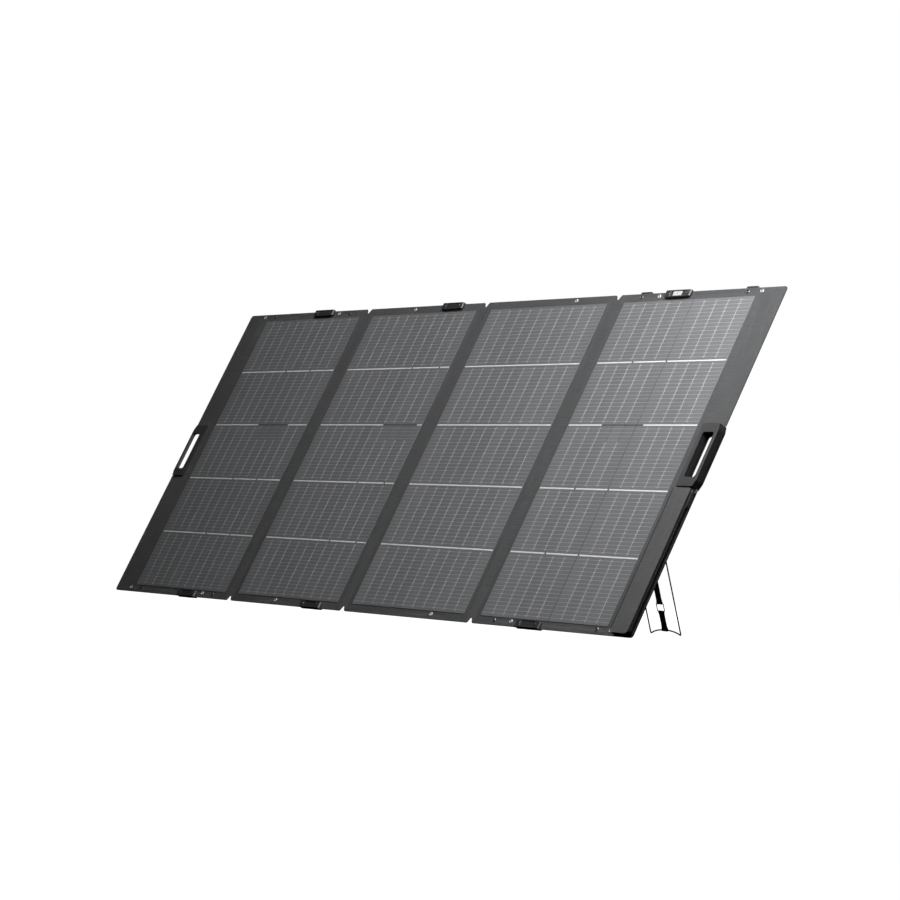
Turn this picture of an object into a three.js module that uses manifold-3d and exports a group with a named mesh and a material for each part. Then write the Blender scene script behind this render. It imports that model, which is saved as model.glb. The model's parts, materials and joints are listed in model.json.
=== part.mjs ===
// Folding solar panel: four fabric-faced sections that fold like a screen, stood up on two wire legs.
// Millimetres. The sheet is modelled lying flat in its own group and then tilted as one:
//   u runs left to right, v up the slope from the bottom edge, n out of the front face (front face at n = 0).
import * as THREE from 'three';
import { mergeVertices } from 'three/addons/utils/BufferGeometryUtils.js';
import Module from 'manifold-3d';

const wasm = await Module();
wasm.setup();

// Driving dimensions
const GAP = 0.3;                              // clearance between pieces that touch
const WIDTH = 2510;                           // unfolded, left edge to right edge
const HEIGHT = 971;                           // along the slope
const TILT = THREE.MathUtils.degToRad(63.4);  // sheet's slope above the ground
const BOARD_BACK = -3;                        // back face of a section's board
const CORNER_RADIUS = 9;

const FOLD_LINES = [666, 1257.5, 1849];
const FOLD_HALF = 17;                         // half of the bare fabric between two boards
const FOLD_FRONT = -0.6;
const FOLD_BACK = -2.4;
const NOTCH_HALF = 14;                        // blunt V cut at both ends of a fold
const NOTCH_TIP = 4;
const NOTCH_DEPTH = 14;

const CELL_WIDTH = 518.8;                     // eleven quarter cells side by side
const CELL_LEFT = [111.4, 702.5, 1293.6, 1885];
const CELL_BOTTOM = 22.8;
const CELL_TOP = 947;
const CELL_FACE = 1.1;

const CLIP_CENTRES = { 1: 429.5, 2: 1101.5, 4: 2099.5 };
const CLIP = { length: 102, over: 1.8, reach: 19, face: 8, recess: 4.6, recessHalf: 21, back: -6.5 };
const TARGET = { size: 34, depth: 13, thickness: 1.6 };

const JUNCTION = { 1: 441.5, 2: 1112, 4: 2112 };
const JUNCTION_SIZE = { u: 100, v: 58, base: -7.2, lid: -12.4, inset: 2.5, v0: 578.7 };

const ANCHORS = { inner: 1954.5, outer: 2372.5 };
const ANCHOR = { length: 44, over: 8, reach: 18, back: -9 };

const HANDLE_LEFT = {
  u: [0, 67], v: [397, 573], slotU: [8.7, 47.5], slotV: [422, 546], face: 4.2, back: -4.6,
};
const HANDLE_RIGHT = {
  u: [2444, 2510], v: [400, 575.5], slotU: [2457, 2499.5], slotV: [425, 549.5], face: 16.5, back: -8.8,
};
const HANDLE = { split: -1.5, rim: 5.7, chamferU: 6, chamferV: 18, slotRadius: 8 };

const POCKET = { u: [2441, 2508], v: [0.5, 395], face: 19.3, radius: 3 };
const ZIP = { n: 9.6, chainHalf: 2.4, chainThick: 1.2, v: [8, 392] };
const SLIDER = { v: [381, 393], half: 5, thick: 2.5, lug: 2.7 };
const PULL = { pivotV: 387, end: 347, half: 4.5, neckHalf: 2, neck: 6.5, thick: 1.4, lift: 1.5 };

const LEG_CENTRES = { left: 329.5, right: 2183 };
const LEG = {
  hingeV: 490, hingeN: -11, half: 59.5, wire: 2, pin: 21, pinBend: 5, footBend: 3, arch: 10.5,
};
const LEG_SPREAD = THREE.MathUtils.degToRad(44.6);  // between the leg and the sheet's back
const BRACKET = { inner: 65.5, outer: 78.5, halfV: 11, back: -15.5, bore: 2.4 };
const STRAP = { width: 22, thick: 1.6, ringUp: 57, top: 26 };
const RING = { width: 30, height: 24, wire: 2.4 };

const MATERIAL = {
  fabric: [0x35373b, 0.9, 0],
  fold: [0x2b2d30, 0.92, 0],
  cells: [0x2c3340, 0.28, 0.1],
  darkPlastic: [0x1c1d1f, 0.5, 0],
  greyPlastic: [0x5a5d61, 0.55, 0],
  whitePlastic: [0xe8e8e4, 0.5, 0],
  pocketCloth: [0x4a4c50, 0.95, 0],
  zip: [0x17181a, 0.6, 0],
  steel: [0x303236, 0.4, 0.8],
  webbing: [0x1f2023, 0.95, 0],
};

const sheet = new THREE.Group();
sheet.rotation.x = TILT;

// Places a finished geometry in a group as one named piece.
function piece(parent, name, material, geometry) {
  const [color, roughness, metalness] = MATERIAL[material];
  const mesh = new THREE.Mesh(geometry, new THREE.MeshStandardMaterial({ color, roughness, metalness }));
  mesh.name = name;
  parent.add(mesh);
  return mesh;
}

// A block between three pairs of limits.
function block([u0, u1], [v0, v1], [n0, n1]) {
  const geometry = new THREE.BoxGeometry(u1 - u0, v1 - v0, n1 - n0);
  return geometry.translate((u0 + u1) / 2, (v0 + v1) / 2, (n0 + n1) / 2);
}

// An outline in u and v, given thickness from n0 to n1.
function plate(shape, n0, n1, curveSegments = 5) {
  const geometry = new THREE.ExtrudeGeometry(shape, { depth: n1 - n0, bevelEnabled: false, curveSegments });
  return geometry.translate(0, 0, n0);
}

// An outline in u and n, run along v from v0 to v1.
function bar(shape, v0, v1, curveSegments = 5) {
  const geometry = new THREE.ExtrudeGeometry(shape, { depth: v1 - v0, bevelEnabled: false, curveSegments });
  return geometry.rotateX(Math.PI / 2).translate(0, v1, 0);
}

function polygon(points) {
  return new THREE.Shape(points.map(([x, y]) => new THREE.Vector2(x, y)));
}

// A rectangle with all four corners rounded, usable as an outline or as a hole.
function roundedRect([x0, x1], [y0, y1], radius, Kind = THREE.Shape) {
  const shape = new Kind();
  shape.moveTo(x0 + radius, y0);
  shape.lineTo(x1 - radius, y0);
  shape.absarc(x1 - radius, y0 + radius, radius, -Math.PI / 2, 0);
  shape.lineTo(x1, y1 - radius);
  shape.absarc(x1 - radius, y1 - radius, radius, 0, Math.PI / 2);
  shape.lineTo(x0 + radius, y1);
  shape.absarc(x0 + radius, y1 - radius, radius, Math.PI / 2, Math.PI);
  shape.lineTo(x0, y0 + radius);
  shape.absarc(x0 + radius, y0 + radius, radius, Math.PI, 1.5 * Math.PI);
  return shape;
}

// Booleans: a geometry becomes a solid, is joined or cut, and becomes a geometry again.
function solid(geometry) {
  const bare = geometry.clone();
  bare.deleteAttribute('normal');
  bare.deleteAttribute('uv');
  const merged = mergeVertices(bare, 1e-4);
  const vertProperties = new Float32Array(merged.attributes.position.array);
  const triVerts = new Uint32Array(merged.index.array);
  return new wasm.Manifold(new wasm.Mesh({ numProp: 3, vertProperties, triVerts }));
}

function surface(manifold) {
  const { vertProperties, triVerts } = manifold.getMesh();
  const geometry = new THREE.BufferGeometry();
  geometry.setAttribute('position', new THREE.BufferAttribute(new Float32Array(vertProperties), 3));
  geometry.setIndex(new THREE.BufferAttribute(new Uint32Array(triVerts), 1));
  geometry.computeVertexNormals();
  return geometry;
}

const join = (first, second) => surface(solid(first).add(solid(second)));
const cut = (first, second) => surface(solid(first).subtract(solid(second)));

// One end section's board: rounded at its outer corners, cut away at the edge where the handle passes through.
function endBoardShape(outer, inner, handle) {
  const side = Math.sign(outer - inner);
  const rim = side < 0 ? handle.slotU[1] + HANDLE.rim + GAP : handle.slotU[0] - HANDLE.rim - GAP;
  const shape = new THREE.Shape();
  shape.moveTo(inner, 0);
  shape.lineTo(outer - side * CORNER_RADIUS, 0);
  shape.quadraticCurveTo(outer, 0, outer, CORNER_RADIUS);
  shape.lineTo(outer, handle.v[0] - GAP);
  shape.lineTo(rim, handle.v[0] - GAP);
  shape.lineTo(rim, handle.v[1] + GAP);
  shape.lineTo(outer, handle.v[1] + GAP);
  shape.lineTo(outer, HEIGHT - CORNER_RADIUS);
  shape.quadraticCurveTo(outer, HEIGHT, outer - side * CORNER_RADIUS, HEIGHT);
  shape.lineTo(inner, HEIGHT);
  return shape;
}

function addBoards() {
  const [fold1, fold2, fold3] = FOLD_LINES;
  const left = endBoardShape(0, fold1 - FOLD_HALF, HANDLE_LEFT);
  const right = endBoardShape(WIDTH, fold3 + FOLD_HALF, HANDLE_RIGHT);
  piece(sheet, 'panel_1_board', 'fabric', plate(left, BOARD_BACK, 0));
  [[2, fold1, fold2], [3, fold2, fold3]].forEach(([section, from, to]) => {
    const board = block([from + FOLD_HALF, to - FOLD_HALF], [0, HEIGHT], [BOARD_BACK, 0]);
    piece(sheet, `panel_${section}_board`, 'fabric', board);
  });
  piece(sheet, 'panel_4_board', 'fabric', plate(right, BOARD_BACK, 0));
}

function addCells() {
  CELL_LEFT.forEach((left, i) => {
    const laminate = block([left, left + CELL_WIDTH], [CELL_BOTTOM, CELL_TOP], [GAP, CELL_FACE]);
    piece(sheet, `panel_${i + 1}_cell_laminate`, 'cells', laminate);
  });
}

// Bare fabric between two boards, with a blunt V cut in both ends so that it can fold.
function addFolds() {
  const half = FOLD_HALF - GAP;
  FOLD_LINES.forEach((line, i) => {
    const shape = polygon([
      [line - half, 0],
      [line - NOTCH_HALF, 0],
      [line - NOTCH_HALF * 0.75, 1.5],
      [line - NOTCH_TIP, NOTCH_DEPTH],
      [line + NOTCH_TIP, NOTCH_DEPTH],
      [line + NOTCH_HALF * 0.75, 1.5],
      [line + NOTCH_HALF, 0],
      [line + half, 0],
      [line + half, HEIGHT],
      [line + NOTCH_HALF, HEIGHT],
      [line + NOTCH_HALF * 0.75, HEIGHT - 1.5],
      [line + NOTCH_TIP, HEIGHT - NOTCH_DEPTH],
      [line - NOTCH_TIP, HEIGHT - NOTCH_DEPTH],
      [line - NOTCH_HALF * 0.75, HEIGHT - 1.5],
      [line - NOTCH_HALF, HEIGHT],
      [line - half, HEIGHT],
    ]);
    piece(sheet, `fold_${i + 1}_fabric`, 'fold', plate(shape, FOLD_BACK, FOLD_FRONT));
  });
}

// A handle's outline: a plate with chamfered outer corners and a grip slot.
function handleShape(handle, uRange) {
  const [u0, u1] = uRange;
  const [v0, v1] = handle.v;
  const onRight = handle.u[1] > WIDTH / 2;
  const outer = onRight ? u1 : u0;
  const inner = onRight ? u0 : u1;
  const side = Math.sign(outer - inner);
  const shape = polygon([
    [inner, v0],
    [outer - side * HANDLE.chamferU, v0],
    [outer, v0 + HANDLE.chamferV],
    [outer, v1 - HANDLE.chamferV],
    [outer - side * HANDLE.chamferU, v1],
    [inner, v1],
  ]);
  shape.holes.push(roundedRect(handle.slotU, handle.slotV, HANDLE.slotRadius, THREE.Path));
  return shape;
}

// Two shells clamp the board's edge; both reach into the board's cut-out, where they meet.
function addHandle(name, handle) {
  const [u0, u1] = handle.u;
  const onRight = u1 > WIDTH / 2;
  const core = onRight ? [handle.slotU[0] - HANDLE.rim, u1] : [u0, handle.slotU[1] + HANDLE.rim];
  const front = join(
    plate(handleShape(handle, handle.u), GAP, handle.face),
    plate(handleShape(handle, core), HANDLE.split + GAP, GAP + 0.2),
  );
  const rear = join(
    plate(handleShape(handle, handle.u), handle.back, BOARD_BACK - GAP),
    plate(handleShape(handle, core), BOARD_BACK - GAP - 0.2, HANDLE.split),
  );
  piece(sheet, `handle_${name}_front_shell`, name === 'right' ? 'greyPlastic' : 'darkPlastic', front);
  piece(sheet, `handle_${name}_rear_shell`, 'darkPlastic', rear);
}

// Limits of an edge fitting along v: past the edge by 'over', onto the sheet by 'reach'.
function edgeSpan(edge, over, reach) {
  return edge === 'bottom' ? [-over, reach] : [HEIGHT - reach, HEIGHT + over];
}

// An edge clip: the cover grips the board's front and edge, the plate closes it behind.
function addClip(section, centre, edge) {
  const half = CLIP.length / 2;
  const span = edgeSpan(edge, CLIP.over, CLIP.reach);
  const board = edgeSpan(edge, GAP, CLIP.reach + 1);
  const profile = polygon([
    [centre - half, BOARD_BACK],
    [centre + half, BOARD_BACK],
    [centre + half, CLIP.face - 4],
    [centre + half - 6, CLIP.face],
    [centre + CLIP.recessHalf + 3, CLIP.face],
    [centre + CLIP.recessHalf, CLIP.recess],
    [centre - CLIP.recessHalf, CLIP.recess],
    [centre - CLIP.recessHalf - 3, CLIP.face],
    [centre - half + 3, CLIP.face],
    [centre - half, CLIP.face - 3],
  ]);
  const throat = block([centre - half - 1, centre + half + 1], board, [BOARD_BACK - 1, GAP]);
  const rear = block([centre - half, centre + half], span, [CLIP.back, BOARD_BACK - GAP]);
  piece(sheet, `panel_${section}_${edge}_clip_cover`, 'darkPlastic', cut(bar(profile, ...span), throat));
  piece(sheet, `panel_${section}_${edge}_clip_plate`, 'darkPlastic', rear);
}

function addClips() {
  for (const [section, centre] of Object.entries(CLIP_CENTRES)) {
    ['bottom', 'top'].forEach((edge) => addClip(section, centre, edge));
  }
}

// The white sighting square that lies in the recess of the last section's top clip.
function addSunTarget() {
  const [v0, v1] = edgeSpan('top', CLIP.over, CLIP.reach);
  const middle = (v0 + v1) / 2;
  const across = [CLIP_CENTRES[4] - TARGET.size / 2, CLIP_CENTRES[4] + TARGET.size / 2];
  const along = [middle - TARGET.depth / 2, middle + TARGET.depth / 2];
  const n0 = CLIP.recess + GAP;
  piece(sheet, 'sun_target', 'whitePlastic', plate(roundedRect(across, along, 2), n0, n0 + TARGET.thickness, 3));
}

// A flat connection box on the back of each section whose cell strings end there.
function addJunctionBoxes() {
  const { u, v, v0, base, lid, inset } = JUNCTION_SIZE;
  for (const [section, centre] of Object.entries(JUNCTION)) {
    const across = [centre - u / 2, centre + u / 2];
    const along = [v0 - v / 2, v0 + v / 2];
    const lidAcross = [across[0] + inset, across[1] - inset];
    const lidAlong = [along[0] + inset, along[1] - inset];
    const baseShape = roundedRect(across, along, 6);
    const lidShape = roundedRect(lidAcross, lidAlong, 5);
    piece(sheet, `panel_${section}_junction_base`, 'darkPlastic', plate(baseShape, base, BOARD_BACK - GAP, 3));
    piece(sheet, `panel_${section}_junction_lid`, 'darkPlastic', plate(lidShape, lid, base - GAP, 3));
  }
}

// Two blocks on the back of the last section that stand just above its top edge.
function addAnchors() {
  for (const [name, centre] of Object.entries(ANCHORS)) {
    const across = [centre - ANCHOR.length / 2, centre + ANCHOR.length / 2];
    const shape = roundedRect(across, edgeSpan('top', ANCHOR.over, ANCHOR.reach), 4);
    piece(sheet, `top_anchor_${name}`, 'darkPlastic', plate(shape, ANCHOR.back, BOARD_BACK - GAP, 3));
  }
}

// The cable pocket, zipped shut, with its zip along the outer side.
function addPocket() {
  const [u0, u1] = POCKET.u;
  const { face, radius } = POCKET;
  const shape = new THREE.Shape();
  shape.moveTo(u0, GAP);
  shape.lineTo(u1, GAP);
  shape.lineTo(u1, face - radius);
  shape.absarc(u1 - radius, face - radius, radius, 0, Math.PI / 2);
  shape.lineTo(u0 + radius, face);
  shape.absarc(u0 + radius, face - radius, radius, Math.PI / 2, Math.PI);
  piece(sheet, 'cable_pocket', 'pocketCloth', bar(shape, ...POCKET.v));

  const chainSide = [u1 + GAP, u1 + GAP + ZIP.chainThick];
  const chainAcross = [ZIP.n - ZIP.chainHalf, ZIP.n + ZIP.chainHalf];
  piece(sheet, 'zip_chain', 'zip', block(chainSide, ZIP.v, chainAcross));
}

// The slider carries two lugs, and the pull's neck hangs between them on the pivot.
function addZipSlider() {
  const inside = POCKET.u[1] + ZIP.chainThick + 2 * GAP;
  const face = inside + SLIDER.thick;
  const body = block([inside, face], SLIDER.v, [ZIP.n - SLIDER.half, ZIP.n + SLIDER.half]);
  const lugAlong = [PULL.pivotV - 2, PULL.pivotV + 2];
  const lugSide = [face - 0.2, face + SLIDER.lug];
  const lugInner = PULL.neckHalf + GAP;
  const withUpper = join(body, block(lugSide, lugAlong, [ZIP.n + lugInner, ZIP.n + lugInner + 1.5]));
  const withBoth = join(withUpper, block(lugSide, lugAlong, [ZIP.n - lugInner - 1.5, ZIP.n - lugInner]));
  piece(sheet, 'zip_slider', 'steel', withBoth);

  const middle = face + PULL.lift;
  const side = [middle - PULL.thick / 2, middle + PULL.thick / 2];
  const neckAlong = [PULL.pivotV - PULL.neck - 0.5, PULL.pivotV + 0.9];
  const neck = block(side, neckAlong, [ZIP.n - PULL.neckHalf, ZIP.n + PULL.neckHalf]);
  const blade = block(side, [PULL.end, PULL.pivotV - PULL.neck], [ZIP.n - PULL.half, ZIP.n + PULL.half]);
  piece(sheet, 'zip_pull', 'zip', join(neck, blade));
}

// Height of a point of the sheet above its bottom edge's level.
const rise = (v, n) => v * Math.sin(TILT) + n * Math.cos(TILT);
const groundLevel = rise(-CLIP.over, CLIP.back);
const legLean = LEG_SPREAD - (Math.PI / 2 - TILT);
const legLength = (rise(LEG.hingeV, LEG.hingeN) - groundLevel - LEG.wire) / Math.cos(legLean);

// A path made of curves laid end to end, each stepped as often as it is given steps.
class SteppedPath extends THREE.Curve {
  constructor(stages) {
    super();
    this.stages = stages.flatMap(([curve, steps]) => (
      Array.from({ length: steps }, (_, i) => ({ curve, start: i / steps, share: 1 / steps }))
    ));
  }

  getUtoTmapping(along) {
    return along;
  }

  getPoint(along, target = new THREE.Vector3()) {
    const place = along * this.stages.length;
    const index = Math.min(Math.floor(place), this.stages.length - 1);
    const { curve, start, share } = this.stages[index];
    return target.copy(curve.getPoint(start + (place - index) * share));
  }
}

// The leg's wire from one pivot pin down, across the arched foot bar and up to the other pin.
function legPath() {
  const { half, pin, pinBend, footBend, arch } = LEG;
  const foot = -legLength;
  const crest = foot + arch;
  const corner = half - footBend;
  const shoulder = corner * 0.5;
  const at = (x, y) => new THREE.Vector3(x, y, 0);
  const line = (...ends) => [new THREE.LineCurve3(...ends), 1];
  const bend = (...points) => [new THREE.QuadraticBezierCurve3(...points), 4];
  const sweep = (...points) => [new THREE.CubicBezierCurve3(...points), 8];
  return new SteppedPath([
    line(at(-half - pin, 0), at(-half - pinBend, 0)),
    bend(at(-half - pinBend, 0), at(-half, 0), at(-half, -pinBend)),
    line(at(-half, -pinBend), at(-half, foot + footBend)),
    bend(at(-half, foot + footBend), at(-half, foot), at(-half + footBend, foot)),
    sweep(at(-corner, foot), at(-corner * 0.8, foot + arch * 0.55), at(-shoulder, crest), at(0, crest)),
    sweep(at(0, crest), at(shoulder, crest), at(corner * 0.8, foot + arch * 0.55), at(corner, foot)),
    bend(at(half - footBend, foot), at(half, foot), at(half, foot + footBend)),
    line(at(half, foot + footBend), at(half, -pinBend)),
    bend(at(half, -pinBend), at(half, 0), at(half + pinBend, 0)),
    line(at(half + pinBend, 0), at(half + pin, 0)),
  ]);
}

function circle(radius, Kind = THREE.Shape) {
  const shape = new Kind();
  shape.absarc(0, 0, radius, 0, 2 * Math.PI);
  return shape;
}

// A leg's pivot bracket: a block on the board's back with a bore for the wire's pin.
function bracketGeometry(u0, u1) {
  const across = [LEG.hingeV - BRACKET.halfV, LEG.hingeV + BRACKET.halfV];
  const body = block([u0, u1], across, [BRACKET.back, BOARD_BACK - GAP]);
  const bore = new THREE.CylinderGeometry(BRACKET.bore, BRACKET.bore, u1 - u0 + 2, 16);
  bore.rotateZ(Math.PI / 2).translate((u0 + u1) / 2, LEG.hingeV, LEG.hingeN);
  return cut(body, bore);
}

function addLeg(name, centre) {
  const leg = new THREE.Group();
  leg.position.set(centre, LEG.hingeV, LEG.hingeN);
  leg.rotation.x = LEG_SPREAD;
  sheet.add(leg);

  const extrudePath = legPath();
  const steps = extrudePath.stages.length;
  const wire = new THREE.ExtrudeGeometry(circle(LEG.wire), { steps, curveSegments: 8, extrudePath });
  piece(leg, `leg_${name}_wire`, 'steel', wire);

  const barTop = -legLength + LEG.arch + LEG.wire;
  const ringMiddle = barTop + STRAP.ringUp;
  const ringSpan = [ringMiddle - RING.height / 2, ringMiddle + RING.height / 2];
  const across = [-STRAP.width / 2, STRAP.width / 2];
  const through = [-STRAP.thick / 2, STRAP.thick / 2];
  const ring = roundedRect([-RING.width / 2, RING.width / 2], ringSpan, 4);
  const inner = RING.width / 2 - RING.wire;
  ring.holes.push(roundedRect([-inner, inner], [ringSpan[0] + RING.wire, ringSpan[1] - RING.wire], 2, THREE.Path));
  piece(leg, `leg_${name}_strap_lower`, 'webbing', block(across, [barTop + GAP, ringSpan[0] - GAP], through));
  piece(leg, `leg_${name}_ring`, 'steel', plate(ring, -RING.wire / 2, RING.wire / 2, 3));
  piece(leg, `leg_${name}_strap_upper`, 'webbing', block(across, [ringSpan[1] + GAP, -STRAP.top], through));

  const left = bracketGeometry(centre - BRACKET.outer, centre - BRACKET.inner);
  const right = bracketGeometry(centre + BRACKET.inner, centre + BRACKET.outer);
  piece(sheet, `leg_${name}_bracket_a`, 'darkPlastic', left);
  piece(sheet, `leg_${name}_bracket_b`, 'darkPlastic', right);
}

addBoards();
addCells();
addFolds();
addHandle('left', HANDLE_LEFT);
addHandle('right', HANDLE_RIGHT);
addClips();
addSunTarget();
addJunctionBoxes();
addAnchors();
addPocket();
addZipSlider();
Object.entries(LEG_CENTRES).forEach(([name, centre]) => addLeg(name, centre));

// The origin is the middle of the footprint, on the ground.
const model = new THREE.Group();
model.add(sheet);
const bounds = new THREE.Box3().setFromObject(model, true);
const middle = bounds.getCenter(new THREE.Vector3());
model.position.set(-middle.x, -middle.y, -bounds.min.z);

const object = new THREE.Group();
object.add(model);

export default object;
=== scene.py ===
"""A folding solar panel on wire legs: the detailed Blender model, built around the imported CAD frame."""
import json
import math
import random

import bmesh
import bpy
from mathutils import Matrix, Vector, noise

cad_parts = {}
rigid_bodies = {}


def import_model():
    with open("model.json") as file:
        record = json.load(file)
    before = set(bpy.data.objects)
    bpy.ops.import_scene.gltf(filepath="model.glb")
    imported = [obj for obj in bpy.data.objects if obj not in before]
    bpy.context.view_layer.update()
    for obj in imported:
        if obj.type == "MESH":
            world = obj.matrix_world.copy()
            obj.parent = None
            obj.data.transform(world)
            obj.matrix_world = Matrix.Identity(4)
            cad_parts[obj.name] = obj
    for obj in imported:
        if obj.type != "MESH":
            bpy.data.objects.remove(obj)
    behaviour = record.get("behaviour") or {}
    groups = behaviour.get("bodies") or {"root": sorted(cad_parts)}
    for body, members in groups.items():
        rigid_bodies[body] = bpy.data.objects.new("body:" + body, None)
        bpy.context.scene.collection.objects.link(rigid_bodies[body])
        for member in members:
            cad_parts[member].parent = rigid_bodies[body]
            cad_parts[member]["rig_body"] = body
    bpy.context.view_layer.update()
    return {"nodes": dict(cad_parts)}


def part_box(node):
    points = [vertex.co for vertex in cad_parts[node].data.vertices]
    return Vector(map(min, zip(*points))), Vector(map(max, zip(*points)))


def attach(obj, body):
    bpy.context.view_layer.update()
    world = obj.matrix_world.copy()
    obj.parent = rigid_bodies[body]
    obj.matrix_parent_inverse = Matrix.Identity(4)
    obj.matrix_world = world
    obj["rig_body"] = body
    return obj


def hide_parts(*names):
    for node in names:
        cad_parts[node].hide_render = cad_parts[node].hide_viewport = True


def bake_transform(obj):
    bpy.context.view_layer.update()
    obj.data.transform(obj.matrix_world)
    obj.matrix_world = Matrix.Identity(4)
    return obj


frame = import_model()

random.seed(7)

# The sheet's own millimetres: u to the right, v up the slope, n out of the front face.
MM = 0.001
TILT = math.radians(63.4)
WIDTH = 2510
HEIGHT = 971
BOARD = 3
BOARD_ROUND = 0.5
SECTIONS = (1, 2, 3, 4)
FOLD_LINES = (666, 1257.5, 1849)
SECTION_ENDS = (0, *FOLD_LINES, WIDTH)
FOLD_HALF = 17
FOLD_BACK = -2.6
NOTCH_HALF = 14
NOTCH_TIP = 4
NOTCH_DEPTH = 14
CORNER = 9
EDGE_TAPE = 5.5  # width of the bound edge

CELL_LEFT = {1: 111.4, 2: 702.5, 3: 1293.6, 4: 1885}
CELL_BOTTOM = 22.8
CELL_SIZE = (45.5, 182.4)
CELL_PITCH = (47.33, 185.3)
COLUMNS = 11
ROWS = 5
WIRES = 16
WIRE_PITCH = 10.87
STRING_BREAK = (4, 6)  # section and column gap with no wires across
RIBBON_BREAKS = {1: (256, 391), 2: (337, 471), 3: (), 4: (150, 286)}
TAPED_ROW_GAP = 3  # counted from the bottom
TAPE = (-9, 159)  # from the first ribbon break
TAPED_WIRES = 4  # of the row's wires, from the top
BACKING_TOP = 0.85
CELL_TOP = 1.0

# Half sizes of what shows through the film.
WIRE_HALF = 0.45
OVERLAP_HALF = (8, 0.5)
JOINT_HALF = (0.95, 1.2)
RIBBON_HALF = 1.9
RIBBON_CUT = 3.5
TAPE_HALF = 1.6

CLIP_CENTRES = {1: 429.5, 2: 1101.5, 4: 2099.5}
CLIP_LENGTH = 102
CLIP_SCREW = 34  # from the clip's middle
CLIP_FACE = 8
CLIP_FLOOR = 6.4  # of the dish between the screws
CLIP_DISH = 30  # half of its length
CLIP_REACH = (-1.8, 19)  # past the sheet's edge, and over the sheet
TARGET = (17, 6.5)  # half sizes of the sighting square
TARGET_TOP = 7.4
CLIP_BACK = -6.5
CLIP_MIDDLE = 8.6  # from the sheet's edge
JUNCTION_CENTRES = {1: 441.5, 2: 1112, 4: 2112}
JUNCTION_V = 578.7
JUNCTION_LID = -12.4
JUNCTION_SCREW = (40, 19)  # from the box's middle
HANDLES = {
    "left": {"v": (397, 573), "slot": (8.7, 47.5), "back": -4.6, "body": "section_1"},
    "right": {"v": (400, 575.5), "slot": (2457, 2499.5), "back": -8.8, "body": "section_4"},
}
HANDLE_RIM = 5.7
# Walls found this way get a darker plastic than the face: painted shade.
SHADED_WALL_FACING = 0.4  # less of a normal's n than this makes a wall
HANDLE_SCREW = 9  # from the slot
HANDLE_SCREW_ENDS = (14, 62)  # from each end of the handle

POCKET = {"u": (2441, 2508), "v": (0.8, 395), "face": 18.9, "fillet": 1.1, "corner": 9}
POCKET_CROWN = ((0.5, 0), (5, 0.08), (13, 0.2), (22, 0.3))  # inset from the fillet, and rise
FLANGE = 7
THREAD_RADIUS = 0.35
STITCH_PITCH = 5
STITCH = 3.2
BINDING = 4.2
ZIP_N = 9.6
ZIP_ENDS = (8, 392)
TOOTH_PITCH = 2.1
TOOTH = (1.25, 2.4)  # its length along the zip and its half width
SLIDER_FACE = 2512.3
PULL = {"pivot_v": 387, "end": 346, "half": 4.6, "neck": 1.9, "thick": 1.4, "lift": 1.5}

EYELET_V = (13.5, 960.5)
EYELET_HOLE = 3.3
EYELET_RIM = ((2.7, 0.7), (3.1, 1.25), (4.2, 1.55), (5.4, 1.2), (6.2, 0.1), (3.2, 0.1))
BRIGHT_EYELETS = (87, 508, 911, 1671, 2020, 2421)
DARK_EYELETS = (147, 565, 1948, 2367)

HINGE_V = 490
HINGE_N = -11
LEG_SPREAD = math.radians(44.6)
LEG_HALF = 59.5
LEG_ARCH = 10.5
LEG_PIN = 21
LEG_BEND = 5
LEG_FOOT_BEND = 3
WIRE = 2  # the CAD wire's radius: it sets the leg's length
WIRE_SHOWN = 1.8
LEGS = {"left": (329.5, "section_1"), "right": (2183, "section_4")}
BRACKET = {"out": 72, "back": -15.5, "screw": 7.4}
STRAP_WIDTH = 20
STRAP_THICK = 1.3
STRAP_TURN = 2.1  # radius of the strap's loop round the ring
PATCH_N = -4.2  # where the strap is sewn to the back
PATCH_SEAM = (8, 22, 40)  # half width, and reach above the hinge
SEAM_PITCH = 3
RING_UP = 57
RING = {"half": (13.8, 10.8), "corner": 3.2, "wire": 1.2}

# The camera's place, from the panel's four corners.
CAMERA_TARGET = Vector((0.05564, 0.07765, 0.45436))
CAMERA_AZIMUTH = math.radians(54.8931)
CAMERA_ELEVATION = math.radians(-1.4742)
CAMERA_ROLL = math.radians(2.8232)
CAMERA_DISTANCE = 8.2129
LENS = 119.934

# Each lamp's place and target on the sheet's axes, its size in metres and its watts. The glint lamp
# is a card for gloss only: it lights the edges that face right.
LAMPS = {
    "high_lamp": ((2900, 2600, 2600), (1800, 600, 0), (1.2, 1.0), 51),
    "wide_lamp": ((1255, 2400, 1300), (1255, 500, 0), (2.4, 0.8), 22),
    "side_lamp": ((2900, 1300, 1000), (2300, 500, 0), (0.7, 0.5), 21.5),
    "back_lamp": ((1500, 1600, -2330), (1255, 500, 0), (2.4, 0.5), 60),
    "glint_lamp": ((2900, 1190, 1800), (1300, 485, 0), (1.7, 1.0), 55),
}
GLOSS_ONLY = ("glint_lamp",)
FLOOR_HALF = 30
FLOOR_THICK = 0.02
FLOOR_COLOR = (0.3, 0.3, 0.3, 1)
FLOOR_GLOW = 1.0

FABRIC_COLOR = (0.072, 0.073, 0.075)
POCKET_COLOR = (0.076, 0.0765, 0.078)
# Darker cloth: painted shade on the pocket's walls, and the dark strips along its edges.
SHADED_WALL_AND_EDGE_LINE_COLOR = (0.024, 0.024, 0.0245)
THREAD_COLOR = (0.045, 0.046, 0.049)
WEBBING_COLOR = (0.022, 0.022, 0.024)
CELL_COLOR = (0.168, 0.172, 0.179)
BACKING_COLOR = (0.055, 0.057, 0.06)
CLIP_COLOR = (0.034, 0.0343, 0.035)
NYLON_COLOR = (0.034, 0.034, 0.035)
DARK_COLOR = (0.022, 0.022, 0.023)
GREY_COLOR = (0.052, 0.0525, 0.054)
WHITE_COLOR = (0.58, 0.58, 0.574)
PLASTIC_GRAIN = 0.06


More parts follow.
